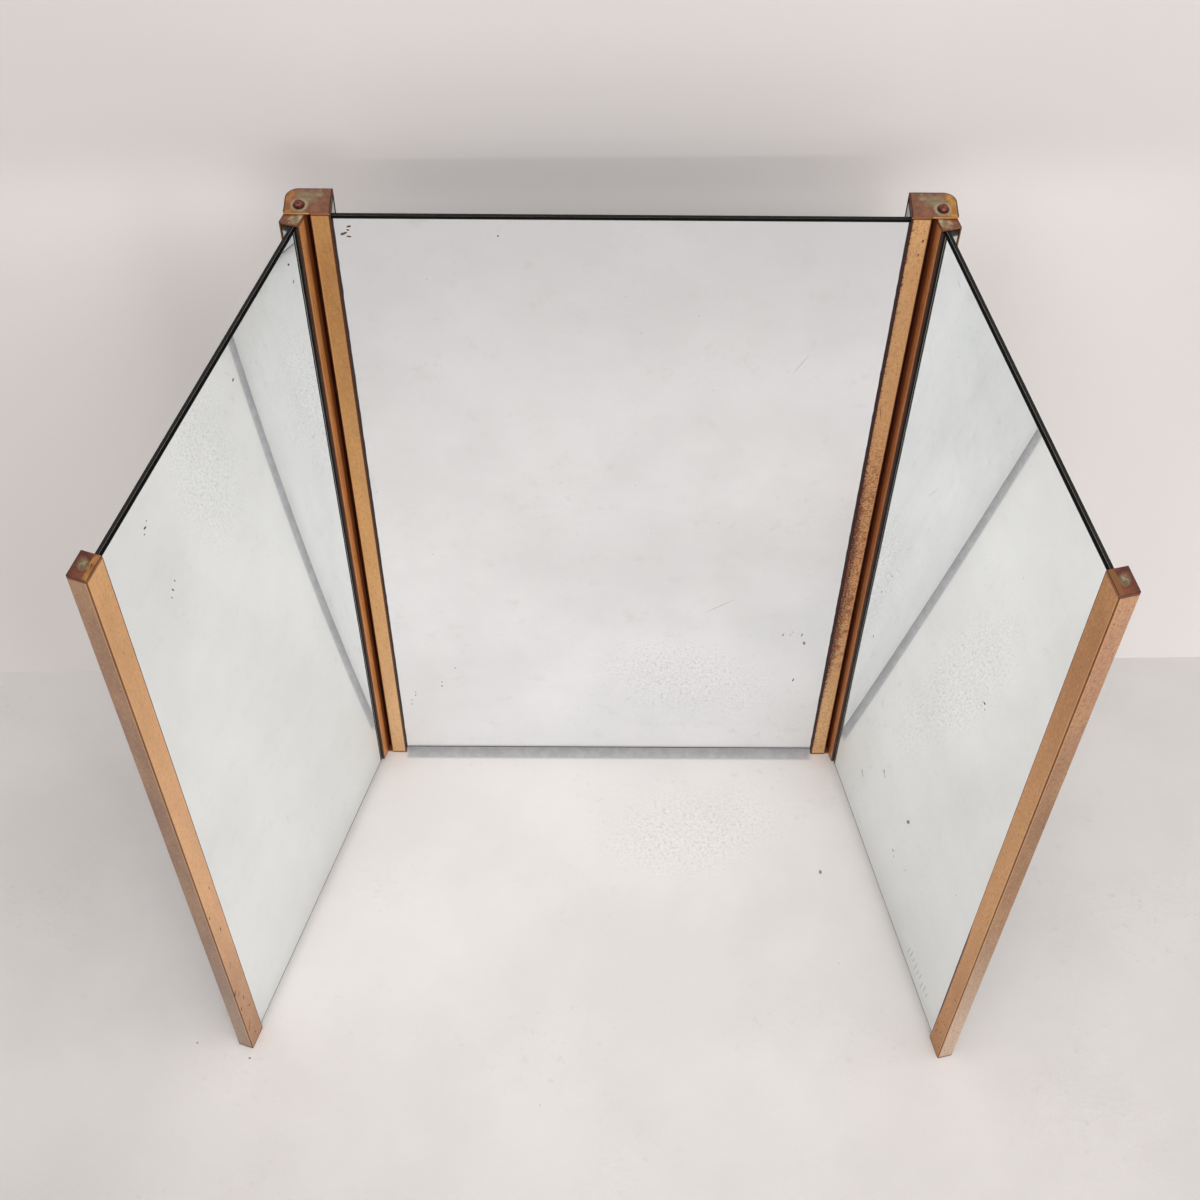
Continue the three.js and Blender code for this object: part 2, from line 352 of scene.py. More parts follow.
# Nicks and spots: place along from the closed side and up from the floor, half sizes, turn.
NICKS = {
    "left_centre_post": [
        ((0.9, 1094), (1.2, 1.6), 0), ((8.5, 387), (0.8, 1.1), 0), ((12, 404), (0.7, 0.9), 0),
    ],
    "right_centre_post": [
        ((5.8, 1085.4), (1.2, 2.4), 0.3), ((7.8, 1064.5), (0.9, 1.7), 0.2), ((9.4, 1096), (0.5, 0.9), 0),
        ((15.6, 802), (0.4, 15.5), -0.18), ((14.5, 371), (1.1, 2.3), 0), ((6.5, 128), (0.8, 1.2), 0),
        ((8.0, 176), (0.7, 1.0), 0), ((10.5, 166), (0.6, 0.8), 0),
    ],
    "left_wing_outer_post": [
        ((2.6, 181), (1.8, 9.0), -0.25), ((4.5, 127), (1.7, 6.0), -0.1), ((16, 141), (1.3, 7.0), -0.15),
        ((8, 61), (1.1, 14.0), -0.3), ((22, 102), (1.2, 5.0), 0), ((5, 402), (1.2, 4.5), 0),
        ((9, 166), (0.9, 6), -0.5), ((17, 348), (1.4, 4.5), -0.2), ((22, 452), (1.0, 4.0), 0),
        ((15, 26), (1.2, 4.0), 0.2), ((12, 250), (0.8, 7), -0.5),
    ],
    "right_wing_outer_post": [
        ((10, 178), (1.3, 3.0), 0), ((11, 93), (1.1, 2.6), 0), ((16, 90), (1.0, 2.2), 0),
        ((27, 62), (1.2, 5), 0), ((24, 44), (1.3, 4), 0.3), ((14, 60), (0.9, 3.5), 0),
        ((5, 30), (1.1, 4), 0), ((20, 84), (0.8, 2), 0),
    ],
}

# Levels of the wear, in metres above the floor: the foot and head of a band and how softly it ends,
# or where it starts and is full.
CORRODED = (0.34, 0.52, 0.24)
WORN = (0.02, 0.66, 0.14)
RUSTED = (0.3, 0.6, 0.12)
CRUMBLING = (0.2, 0.42)
CREEPING = (0.12, 0.30, 0.1)

# Where a tone starts and is full, from the closed side, from the fold or from an end.
# Beside the centre post, the red-brown and the nearly black tones are painted shade and a painted
# reflection of that post.
SHADE_RED_BROWN = (18 * MM, 16 * MM)
SHADE_NEARLY_BLACK = (10.5 * MM, 8.5 * MM)
FOLD_REACH = (3 * MM, 2 * MM)
FOLD_LINE = (1.7 * MM, 1.0 * MM)
SAWN_FOOT = (1.5 * MM, 0.5 * MM)
SAWN_HEAD = (1.4 * MM, 0.5 * MM)
FOLD_HIGHLIGHT = (1.9 * MM, 2.5 * MM, 0.5 * MM)      # a band of painted highlight beside the fold, with how softly it ends

# Dark lips beside the mirrors: where one starts and is full, from the mouth, and its stain.
WIDE_LIP = (2.6 * MM, 1.6 * MM, (66, 26, 26))
OUTER_LIP = (1.3 * MM, 0.7 * MM, (120, 54, 34))


def by_level(finish, tones, turns):
    """Tones that run into each other from the foot of a piece to its top."""
    top, middle, foot = (rgb(*tone) for tone in tones)
    (foot_ends, middle_starts), (middle_ends, top_starts) = turns
    tall = finish.tall
    upper = finish.blend(middle, top, finish.step(finish.up, middle_ends * tall, top_starts * tall))
    return finish.blend(foot, upper, finish.step(finish.up, foot_ends * tall, middle_starts * tall))


def brush_brass(finish, look, cloud, streak):
    """Tones of the front and the closed side, with clouds, mottle and drawing streaks."""
    here = finish.here
    finish.lay((104, 64, 38))
    finish.coat(by_level(finish, look["side"], SIDE_TURNS), finish.side)
    finish.coat(by_level(finish, look["front"], FRONT_TURNS), finish.front)
    finish.coat(finish.mix((112, 70, 44), (236, 188, 130), finish.step(cloud, 0.3, 0.7)), 0.18)
    mottle = finish.noise(here, 260, 5, 0.75, stretch=(1, 1, 0.6), offset=(5, 1, 3))
    brown = finish.times(finish.step(mottle, 0.5, 0.64), 0.08 + 0.26 * look["speckled"])
    finish.coat((156, 96, 52), brown)
    finish.coat((250, 208, 152), finish.times(finish.step(mottle, 0.48, 0.36), 0.22))
    finish.coat((120, 70, 38), finish.times(finish.step(streak, 0.52, 0.8), 0.3))


def corroded_brass(finish, rough):
    """Corroded edge beside the mirror, and pitted brass all the way below it."""
    here, up, front = finish.here, finish.up, finish.front
    reach = finish.times(finish.band(up, *CORRODED), 8 * MM)
    from_mouth = finish.math("SUBTRACT", finish.width, finish.along)
    inward = finish.wobble(from_mouth, rough, 26 * MM)
    inside = finish.step(finish.math("SUBTRACT", reach, inward), -4 * MM, 1.5 * MM)
    blotch = finish.step(finish.noise(here, 430, 3, 0.65), 0.4, 0.52)
    eaten = finish.most(blotch, finish.step(inward, 5 * MM, 2.5 * MM))
    finish.coat((64, 30, 38), finish.times(inside, front, eaten, 0.95))
    worn = finish.times(finish.band(up, *WORN), front)
    rust = finish.step(finish.noise(here, 70, 5, 0.7, offset=(2, 6, 1)), 0.46, 0.62)
    finish.coat((138, 72, 46), finish.times(worn, finish.band(up, *RUSTED), rust, 0.7))
    crumbs = finish.step(finish.noise(here, 330, 3, 0.7, offset=(4, 4, 1)), 0.5, 0.57)
    strength = finish.math("ADD", finish.times(finish.step(up, *CRUMBLING), 0.45), 0.2)
    finish.coat((112, 58, 38), finish.times(worn, crumbs, strength))
    finish.coat((92, 44, 30), finish.times(worn, finish.pits(here, 150, 0.2, 0.35, 0.7), 0.8))


def painted_shade_and_drawn_lines(finish):
    """Painted shade and a painted reflection of the centre post on the strip beside it, red-brown and
    then nearly black, and the drawn lines by it.
    """
    along, front, width = finish.along, finish.front, finish.width
    # Painted shade and reflection: red-brown, then nearly black nearest the closed side.
    finish.coat((158, 72, 28), finish.times(finish.step(along, *SHADE_RED_BROWN), 0.85))
    finish.coat((58, 22, 10), finish.step(along, *SHADE_NEARLY_BLACK))
    pale = finish.band(along, width - 5.5 * MM, width - 3.5 * MM, 1.2 * MM)
    finish.coat((240, 196, 158), finish.times(pale, front, 0.3))
    lines = finish.noise(finish.here, 600, 2, stretch=(1, 1, 0.02), offset=(1, 8, 2))
    finish.coat((150, 76, 34), finish.times(finish.step(lines, 0.5, 0.62), front, 0.4))


def creeping_stain(finish):
    """Dark stain that widens from the lip into the front of the right outer post, near its foot."""
    spread = finish.times(finish.band(finish.up, *CREEPING), 3.4 * MM)
    inward = finish.math("SUBTRACT", finish.width, finish.along)
    creep = finish.step(finish.math("SUBTRACT", spread, inward), -0.6 * MM, 0.4 * MM)
    finish.coat((64, 30, 40), finish.times(creep, finish.front, 0.9))


def post_edges(finish, node):
    """Line where the sheet is folded, a painted highlight beside it, the dark lip and the sawn ends."""
    along, up, front = finish.along, finish.up, finish.front
    fold = finish.most(along, finish.back)
    outer = finish.most(front, finish.side, finish.step(fold, *FOLD_REACH))
    # Painted highlight beside the fold.
    finish.coat((236, 184, 128), finish.times(finish.band(fold, *FOLD_HIGHLIGHT), outer, 0.5))
    finish.coat((98, 48, 26), finish.times(finish.step(fold, *FOLD_LINE), outer, 0.85))
    if node == "right_wing_outer_post":
        creeping_stain(finish)
    starts, full, stain = OUTER_LIP if "_outer_" in node else WIDE_LIP
    lip = finish.near_end(along, finish.width, (starts, full))
    finish.coat(stain, finish.times(lip, front, 0.92))
    ends = finish.most(finish.step(up, *SAWN_FOOT), finish.near_end(up, finish.tall, SAWN_HEAD))
    finish.coat((92, 46, 28), finish.times(ends, 0.8))


def nicks(finish, spots, grain):
    plane = finish.plane(finish.along, finish.up)
    dents = [
        finish.mark(plane, finish.from_floor(spot), half, turn, 0.3, grain, 0.4)
        for spot, half, turn in spots
    ]
    finish.coat((70, 34, 24), finish.times(finish.most(*dents), finish.front, 0.9))


def post_brass(node):
    finish = PieceFinish(node, "_brass")
    finish.front = finish.step(finish.face_back, -0.45, -0.8)
    finish.side = finish.step(finish.face_along, -0.6, -0.9)
    here = finish.here
    speckled = BRASS[node]["speckled"]
    cloud = finish.noise(here, 22, 5, stretch=(1, 1, 0.35))
    streak = finish.noise(here, 520, 3, stretch=(1, 1, 0.1))
    grain = finish.noise(here, 1300, 2)
    rough = finish.noise(here, 240, 4, 0.7)
    brush_brass(finish, BRASS[node], cloud, streak)

    # Tarnish speckles, denser where the channel has been handled.
    handled = finish.step(cloud, 0.3, 0.6)
    speckle = finish.times(finish.step(rough, 0.54, 0.66), handled, 0.55 * speckled)
    finish.coat((126, 78, 44), speckle)
    pit = finish.most(
        finish.pits(here, 190, 0.17, 0.14 * speckled),
        finish.pits(here, 360, 0.22, 0.34 * speckled, 0.37),
    )
    finish.coat((88, 46, 30), finish.times(pit, 0.75))

    if node == "right_centre_post":
        corroded_brass(finish, rough)
    if "hinge" in node:
        painted_shade_and_drawn_lines(finish)
    post_edges(finish, node)
    if node in NICKS:
        nicks(finish, NICKS[node], grain)

    dull = finish.times(finish.most(pit, speckle), 0.2)
    finish.set(
        Base_Color=finish.colour,
        Metallic=0.72,
        Roughness=finish.math("ADD", finish.times(grain, 0.16), finish.math("ADD", dull, 0.35)),
    )
    height = finish.math("ADD", finish.times(grain, 0.5), finish.times(streak, 0.5))
    finish.bump(finish.math("SUBTRACT", height, finish.times(pit, 0.8)), 0.16)
    wear(node, finish.material)


# ---------------------------------------------------------------- plates, caps, pins and washers
PIN_SPOT = (16, 12.5)            # middle of a pin on its plate, in millimetres
PIN_RING = (7.2, 7.8)            # dark ring round the pin's head
RIM_CORNER = (12.2 * MM, 13 * MM)
RIM_SIDE = (2.2 * MM, 1.2 * MM)
CAP_RIM = (1.3 * MM, 0.7 * MM)
UNDERSIDE_LINE = (0.8 * MM, 0.3 * MM)
EAR_FOOT = 28 * MM               # where a plate's ear ends and its part over the post begins
CORNER_MIDDLE = 14 * MM          # middle of the ear's rounded corner, from both of its sides
GOLDEN = {"left": ((186, 130, 70), (150, 100, 58)), "right": ((204, 154, 76), (172, 118, 58))}
GOLDEN_REACH = {"left": (12, 8), "right": (15, 10)}
OUTER_CAP_STRIP = {"left": 0.95, "right": 0.25}
OUTER_CAP_NICK = {"left": ((19, 4.4), (2.4, 0.8), 0.5), "right": ((15, 10.5), (0.9, 0.8), 0)}


def ear_plate_top(finish, side, plane, cloud, bloom, olive, golden):
    """Olive bloom, a golden ear, a pale halo and a dark ring round the pin, and pale specks."""
    wide = finish.mark(plane, (22, 24), (17, 13), 0.2, 0.6, bloom, 2.0)
    far = finish.mark(plane, (36, 28), (9, 6), 0, 0.6, bloom, 2.2)
    finish.coat(olive, finish.times(finish.most(wide, far), 0.85))
    starts, full = GOLDEN_REACH[side]
    edge = finish.wobble(finish.along, cloud, 16 * MM)
    finish.coat(golden, finish.times(finish.step(edge, starts * MM, full * MM), 0.9))
    ring = finish.mark(plane, PIN_SPOT, PIN_RING, 0, 0.2)
    halo = finish.mark(plane, PIN_SPOT, (11.4, 11.6), 0, 0.35, bloom, 0.8)
    finish.coat((176, 164, 132), finish.times(halo, finish.inverse(ring), 0.85))
    finish.coat((56, 30, 24), finish.times(ring, 0.9))
    finish.coat((196, 184, 150), finish.times(finish.pits(finish.here, 190, 0.2, 0.2), 0.6))


def outer_cap_top(finish, side, plane, cloud, bloom, golden, grain):
    """Green middle on a dark cap, a golden strip in front and one nick."""
    middle = (finish.width / MM / 2 + 1, finish.depth / MM / 2 + 1)
    patch = finish.mark(plane, middle, (9.5, 7), 0.3, 0.5, bloom, 1.6)
    green = finish.mix((112, 96, 70), (156, 142, 112), finish.step(bloom, 0.45, 0.62))
    finish.lay(finish.mix((88, 48, 40), (128, 74, 52), finish.step(cloud, 0.38, 0.62)))
    finish.coat(green, finish.times(patch, 0.95))
    strip = finish.step(finish.math("ADD", finish.back, finish.times(cloud, 7 * MM)), 11 * MM, 9 * MM)
    finish.coat(golden, finish.times(strip, OUTER_CAP_STRIP[side]))
    spot, half, turn = OUTER_CAP_NICK[side]
    nick = finish.mark(plane, spot, half, turn, 0.4, grain, 0.8)
    finish.coat((76, 40, 28), finish.times(nick, 0.85))


def hinge_cap_top(finish, plane, cloud, bloom, olive):
    patch = finish.mark(plane, (finish.width / MM * 0.62, 7), (13, 9), 0, 0.5, bloom, 1.4)
    pale = finish.blend(olive, rgb(206, 188, 154), finish.step(cloud, 0.42, 0.58))
    finish.coat(pale, finish.times(patch, 0.95))


def rim_line(finish, plate):
    """Dark line round the top: along a plate's rounded corner and inner side, or round a cap."""
    along, back, width, depth = finish.along, finish.back, finish.width, finish.depth
    if plate:
        out = finish.most(finish.math("SUBTRACT", CORNER_MIDDLE, along), 0.0)
        behind = finish.most(finish.math("SUBTRACT", back, depth - CORNER_MIDDLE), 0.0)
        squares = finish.math("ADD", finish.times(out, out), finish.times(behind, behind))
        corner = finish.step(finish.math("SQRT", squares), *RIM_CORNER)
        return finish.most(corner, finish.near_end(along, width, RIM_SIDE))
    sides = finish.math("MINIMUM", back, finish.math("SUBTRACT", depth, back))
    return finish.step(finish.math("MINIMUM", along, sides), *CAP_RIM)


def filed_edges(finish, plate, cloud):
    """Upright faces, golden in front, with dark lines where they meet the top and the underside."""
    finish.coat((70, 34, 26), finish.times(rim_line(finish, plate), 0.9))
    level = finish.step(finish.face_up, 0.9, 0.97)
    wall = finish.step(finish.math("ABSOLUTE", finish.face_up), 0.5, 0.2)
    front = finish.times(wall, finish.step(finish.face_back, -0.5, -0.8))
    finish.coat(finish.mix((128, 84, 56), (156, 108, 70), cloud), finish.times(wall, 0.7))
    if plate:
        ear = finish.step(finish.along, EAR_FOOT + 0.4 * MM, EAR_FOOT - 0.4 * MM)
        bright = finish.mix((160, 104, 60), (226, 164, 84), ear)
    else:
        bright = finish.mix((186, 132, 84), (150, 100, 60), cloud)
    finish.coat(bright, finish.times(front, 0.9))
    under = finish.times(wall, finish.step(finish.up, *UNDERSIDE_LINE))
    filed = finish.times(finish.inverse(level), finish.inverse(wall))
    finish.coat((104, 54, 36), finish.times(finish.most(under, filed), 0.8))


def plate_brass(node):
    finish = PieceFinish(node, "_brass")
    here = finish.here
    side = node.split("_")[0]
    plate = node.endswith("_plate")
    plane = finish.plane(finish.along, finish.back)
    cloud = finish.noise(here, 95, 5, 0.65)
    bloom = finish.noise(here, 150, 5, 0.6, offset=(3, 1, 2))
    grain = finish.noise(here, 900, 3)
    olive = finish.mix((138, 122, 92), (166, 152, 124), finish.step(bloom, 0.42, 0.66))
    golden = finish.mix(*GOLDEN[side], finish.step(cloud, 0.38, 0.6))
    finish.lay(finish.mix((126, 84, 66), (150, 104, 78), finish.step(cloud, 0.38, 0.62)))
    if plate:
        ear_plate_top(finish, side, plane, cloud, bloom, olive, golden)
    elif "_outer_" in node:
        outer_cap_top(finish, side, plane, cloud, bloom, golden, grain)
    else:
        hinge_cap_top(finish, plane, cloud, bloom, olive)
    filed_edges(finish, plate, cloud)
    finish.set(
        Base_Color=finish.colour,
        Metallic=0.5,
        Roughness=finish.math("ADD", finish.times(cloud, 0.25), 0.36),
    )
    finish.bump(finish.math("ADD", cloud, finish.times(grain, 0.5)), 0.3)
    wear(node, finish.material)


def pin_copper(node):
    finish = Finish(node + "_copper")
    here = finish.everywhere
    cloud = finish.noise(here, 420, 4, 0.6)
    beaten = finish.pits(here, 620, 0.45)
    finish.lay(finish.mix((98, 50, 42), (142, 82, 64), finish.step(cloud, 0.42, 0.58)))
    finish.coat((64, 32, 30), finish.times(beaten, 0.6))
    finish.set(
        Base_Color=finish.colour,
        Metallic=0.6,
        Roughness=finish.math("ADD", finish.times(cloud, 0.2), 0.3),
    )
    finish.bump(finish.math("SUBTRACT", cloud, finish.times(beaten, 0.6)), 0.5)
    wear(node, finish.material)


def washer_brass(node):
    finish = Finish(node + "_brass")
    ring = finish.noise(finish.everywhere, 400, 3)
    finish.set(
        Base_Color=finish.mix((170, 130, 78), (120, 84, 50), ring),
        Metallic=0.9,
        Roughness=finish.math("ADD", finish.times(ring, 0.2), 0.3),
    )
    finish.bump(ring, 0.2)
    wear(node, finish.material)


# ---------------------------------------------------------------- glass, boards, packing, blocks
# A wing's silvering is turned this far about the upright line and then leaned down, in degrees,
# so that its picture of the room falls where the photograph has it.
SILVER_TURN = {"left_wing": (-19.3, 7.9), "right_wing": (15.5, 6.0)}

# Clean and dull silvering.
SILVER = {
    "centre": ((248, 250, 253), (242, 245, 247)),
    "left_wing": ((242, 247, 247), (236, 241, 241)),
    "right_wing": ((242, 247, 247), (236, 241, 241)),
}

# Flaws of each glass, in millimetres: place from the first edge of the pane and up from the floor,
# half sizes, turn.
FLAKES = {
    "centre": [
        ((33.5, 1099.4), (3.4, 1.6), 0.4), ((32.4, 1094.2), (2.6, 1.2), -0.4),
        ((27.1, 1089.0), (5.2, 1.9), 0.5), ((32.6, 1084.7), (3.4, 1.4), -0.2),
        ((192.3, 1086.9), (1.6, 1.0), 0.6), ((573, 324), (1.2, 1.2), 0), ((576, 331), (1.0, 1.0), 0),
        ((80.8, 197.1), (1.1, 1.6), 0), ((80.2, 186.3), (1.5, 2.2), 0), ((40.8, 169.6), (0.9, 1.2), 0),
        ((40.2, 161.4), (1.0, 1.6), 0), ((34, 147.6), (0.9, 1.2), 0), ((33.2, 136.5), (1.0, 1.6), 0),
        ((563.1, 323.6), (0.9, 4.0), -0.3), ((589.5, 323.8), (1.0, 4.4), -0.2),
        ((587.4, 207.4), (1.0, 5.0), -0.2), ((101.5, 234.5), (0.8, 2.2), -0.5),
    ],
    "left_wing": [
        ((198, 1063), (2.0, 2.4), 0), ((401, 1066), (3.0, 1.8), 0.5), ((405, 1060), (1.4, 1.2), 0),
        ((396, 1071), (1.2, 1.0), 0), ((387, 943), (1.0, 4.2), -0.4), ((392, 936), (0.7, 3.0), -0.4),
        ((380, 950), (0.7, 2.6), -0.3), ((49.2, 1086.5), (1.2, 4.0), -0.6),
        ((44.8, 1056.8), (1.3, 2.4), 0.4),
    ],
    "right_wing": [
        ((251, 143), (2.2, 2.8), 0), ((257, 137), (1.2, 1.5), 0), ((294, 164), (1.6, 1.8), 0),
        ((352, 690), (3.6, 1.8), 0.4), ((356, 683), (1.5, 1.2), 0), ((347, 678), (1.2, 1.0), 0),
        ((116, 134.4), (1.6, 4.4), 0.5), ((120, 130), (1.0, 3.6), 0.5), ((175, 235), (1.8, 4.6), 0.4),
        ((180, 230), (1.0, 4.0), 0.3),
    ],
}

# Start, end and half width of each scratch, measured as the flaws are.
SCRATCHES = {
    "centre": [((496.9, 415.3), (444.9, 371.7), 0.45), ((546.6, 906.4), (525.2, 863.1), 0.35)],
    "right_wing": [
        ((359 + 9 * step, 30 + 5 * (step % 3)), (362 + 9 * step, 62 + 7 * (step % 2)), 0.9)
        for step in range(9)
    ],
}

# Middle and half sizes of the rough patch of a glass.
ROUGH_PATCH = {"centre": ((381, 190), (120, 95)), "right_wing": ((310, 250), (150, 200))}

GROUND_FOOT = (3.2 * MM, 2.2 * MM)
GROUND_SIDE = (2.0 * MM, 1.2 * MM)
GROUND_HEAD = (1.6 * MM, 0.9 * MM)
GREY_LINE = (25.2 * MM, 26.0 * MM, 0.3 * MM)
LIP_SHADE_FROM_EDGE = 28.2 * MM  # width of the strip of painted shade and painted reflection beside a hinge post
# How softly that painted shade ends on each wing.
LIP_SHADE_FADE = {"left_wing": 0.8 * MM, "right_wing": 2.6 * MM}
BACK_COAT_AND_HIGHLIGHT = (3.45 * MM, 3.8 * MM)  # depth at which a pale line shows on the edge: the back coat, with a painted highlight on the rear arris


def clouded_silver(finish, name, mist):
    """Silvering with dull clouds, mist and fine specks."""
    cloud = finish.noise(finish.here, 5.5, 5, 0.62)
    finish.lay(finish.mix(*SILVER[name], finish.step(cloud, 0.35, 0.7)))
    finish.coat((222, 226, 222), finish.times(finish.step(mist, 0.55, 0.75), 0.4))
    specks = finish.pits(finish.here, 46, 0.045, 0.2)
    dots = finish.pits(finish.here, 120, 0.06, 0.06, 0.61)
    finish.coat((150, 150, 144), finish.times(finish.most(specks, dots), 0.7))


def rough_patch(finish, name, plane, mist):
    middle, half = ROUGH_PATCH[name]
    patch = finish.mark(plane, finish.from_floor(middle), half, 0, 0.9, mist, 1.6)
    scrape = finish.noise(finish.here, 130, 5, 0.75, stretch=(1, 1, 1.6), offset=(7, 2, 1))
    finish.coat((196, 198, 194), finish.times(finish.step(scrape, 0.56, 0.66), patch, 0.5))
    finish.coat((255, 255, 252), finish.times(finish.step(scrape, 0.42, 0.34), patch, 0.6))


def lost_silver(finish, name, plane):
    """Flakes and scratches; returns how much of the silver is gone."""
    grain = finish.noise(finish.here, 420, 3, 0.7)
    flaw = finish.most(*(
        finish.mark(plane, finish.from_floor(spot), half, turn, 0.35, grain, 1.3)
        for spot, half, turn in FLAKES[name]
    ))
    finish.coat((92, 66, 48), flaw)
    if name in SCRATCHES:
        scratched = finish.most(*(
            finish.scratch(plane, finish.from_floor(start), finish.from_floor(end), half_width)
            for start, end, half_width in SCRATCHES[name]
        ))
        finish.coat((112, 106, 98), finish.times(scratched, 0.8))
    return flaw


def ground_border(finish):
    """Dark ground border, widest along the foot."""
    across, up = finish.along, finish.up
    sides = finish.math("MINIMUM", across, finish.math("SUBTRACT", finish.width, across))
    border = finish.most(
        finish.step(up, *GROUND_FOOT),
        finish.step(sides, *GROUND_SIDE),
        finish.near_end(up, finish.tall, GROUND_HEAD),
    )
    finish.coat((66, 64, 60), border)
    return finish.times(border, 0.6)


def painted_lip_shade_strip(finish, name, mist):
    """Painted shade and a painted reflection of the hinge post's dark lip on the silver beside it, with
    a grey line in it.
    """
    line = finish.wobble(finish.along, mist, 1.5 * MM)
    line = finish.math("SUBTRACT", line, finish.times(finish.step(finish.up, 0.1, 1.1), 1.6 * MM))
    gone = finish.step(line, LIP_SHADE_FROM_EDGE + LIP_SHADE_FADE[name], LIP_SHADE_FROM_EDGE)
    # The dark strip is painted shade and a painted reflection of the lip.
    finish.coat((8, 8, 9), gone)
    finish.coat((150, 150, 142), finish.band(line, *GREY_LINE))
    return gone


def turn_silvering(finish, name, front):
    turn, lean = (math.radians(angle) for angle in SILVER_TURN[name])
    ahead = Matrix.Rotation(turn, 3, "Z") @ -finish.place.back
    facing = ahead * math.cos(lean) - Vector((0, 0, math.sin(lean)))
    silvering = finish.nodes.new("ShaderNodeNormalMap")
    silvering.space = "OBJECT"
    silvering.inputs["Color"].default_value = (*(0.5 + 0.5 * part for part in facing), 1)
    finish.put(silvering.inputs["Strength"], front)
    finish.put(finish.skin.inputs["Normal"], silvering.outputs["Normal"])


def mirror_glass(node):
    name = node.replace("_mirror_glass", "")
    finish = PieceFinish(node, "_silvered")
    front = finish.step(finish.face_back, -0.9, -0.97)
    plane = finish.plane(finish.along, finish.up)
    mist = finish.noise(finish.here, 24, 5, 0.7, offset=(2, 0, 5))
    clouded_silver(finish, name, mist)
    if name in ROUGH_PATCH:
        rough_patch(finish, name, plane, mist)
    flaw = lost_silver(finish, name, plane)
    black = ground_border(finish)
    # On a wing, the painted shade and reflection beside the hinge post's lip join the dark border.
    if name != "centre":
        black = finish.most(black, painted_lip_shade_strip(finish, name, mist))

    # Flaws, the dark border and the painted lip shade are less metallic and rougher.
    bare_and_lip_shade = finish.most(flaw, black)
    # Dark glass edges, with a pale line near the back: the back coat and a painted highlight on the rear
    # arris.
    edge = finish.mix((9, 11, 11), (168, 166, 158), finish.band(finish.back, *BACK_COAT_AND_HIGHLIGHT, 0.1 * MM))
    rough_edge = finish.times(finish.inverse(front), 0.3)
    finish.set(
        Base_Color=finish.blend(edge, finish.colour, front),
        Metallic=finish.times(front, finish.inverse(finish.times(bare_and_lip_shade, 0.9))),
        Roughness=finish.math("ADD", rough_edge, finish.times(bare_and_lip_shade, 0.5)),
        Specular_IOR_Level=0.05,
    )
    if name in SILVER_TURN:
        turn_silvering(finish, name, front)
    wear(node, finish.material)


def black_board(node):
    finish = Finish(node + "_black")
    grain = finish.noise(finish.everywhere, 160, 4, stretch=(1, 1, 0.2))
    dust = finish.noise(finish.everywhere, 14, 5, 0.65)
    finish.lay(finish.mix((20, 17, 17), (36, 32, 30), grain))
    finish.coat((72, 66, 60), finish.times(finish.step(dust, 0.55, 0.8), 0.4))
    finish.set(
        Base_Color=finish.colour,
        Roughness=finish.math("ADD", finish.times(grain, 0.2), 0.6),
        Specular_IOR_Level=0.25,
    )
    finish.bump(grain, 0.15)
    wear(node, finish.material)


SHADED_TOP_END = 3 * MM             # painted shade on the sawn top of a packing strip, in the hollow under the cap


def grey_timber(node):
    finish = Finish(node + "_grey")
    grain = finish.noise(finish.everywhere, 300, 4, stretch=(1, 1, 0.06))
    along, back, up = finish.parts(finish.everywhere)
    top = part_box(node)[1].z
    finish.lay(finish.mix((242, 240, 237), (190, 187, 184), finish.step(grain, 0.35, 0.7)))
    # Painted shade at the top end, in the hollow under the cap.
    finish.coat((46, 40, 38), finish.times(finish.step(up, top - SHADED_TOP_END, top), 0.9))
    finish.set(Base_Color=finish.colour, Roughness=0.75)
    finish.bump(grain, 0.3)
    wear(node, finish.material)


def black_rubber(node):
    finish = Finish(node + "_rubber")
    bloom = finish.noise(finish.everywhere, 220, 3)
    finish.set(Base_Color=finish.mix((34, 33, 32), (58, 56, 54), bloom), Roughness=0.85)
    finish.bump(bloom, 0.2)
    wear(node, finish.material)


def dress_the_frame():
    dressers = {
        "_post": post_brass, "_plate": plate_brass, "_cap": plate_brass, "_pin": pin_copper,
        "_washer": washer_brass, "_glass": mirror_glass, "_board": black_board,
        "_strip": grey_timber, "_block": black_rubber,
    }
    for node in sorted(nodes):
        dressers[node[node.rindex("_"):]](node)


# ---------------------------------------------------------------- putty beads beside the mirrors
LIP_THICKNESS = 1.5 * MM         # front wall of a channel, whose mouth the bead lies against
BEAD_RISE = 0.9 * LIP_THICKNESS  # from the glass forwards
BEAD_WIDTH = {"centre": 2.1 * MM, "hinge": 2.1 * MM, "outer": 1.3 * MM}
BEAD_GAP = 0.06 * MM             # from the bead to the glass and to the channel
BEAD_END = 1 * MM                # left free at the head and the foot
BEAD_RINGS = 99
BEAD_PRESSED = 0.85              # bevel of the front corner, as a share of the smaller side
BEAD_UNEVEN = 0.5                # how far the knife wandered, as a share of the width
KNIFE_STROKE = 11 * MM
FREE_SIDE = "free_side"


def putty_finish():
    finish = Finish("old_black_putty")
    crumb = finish.noise(finish.everywhere, 700, 4, 0.65)
    finish.set(
        Base_Color=finish.mix((26, 14, 16), (66, 32, 30), finish.step(crumb, 0.45, 0.7)),
        Roughness=finish.math("ADD", finish.times(crumb, 0.3), 0.45),
    )
    finish.bump(crumb, 0.5)
    return finish.material


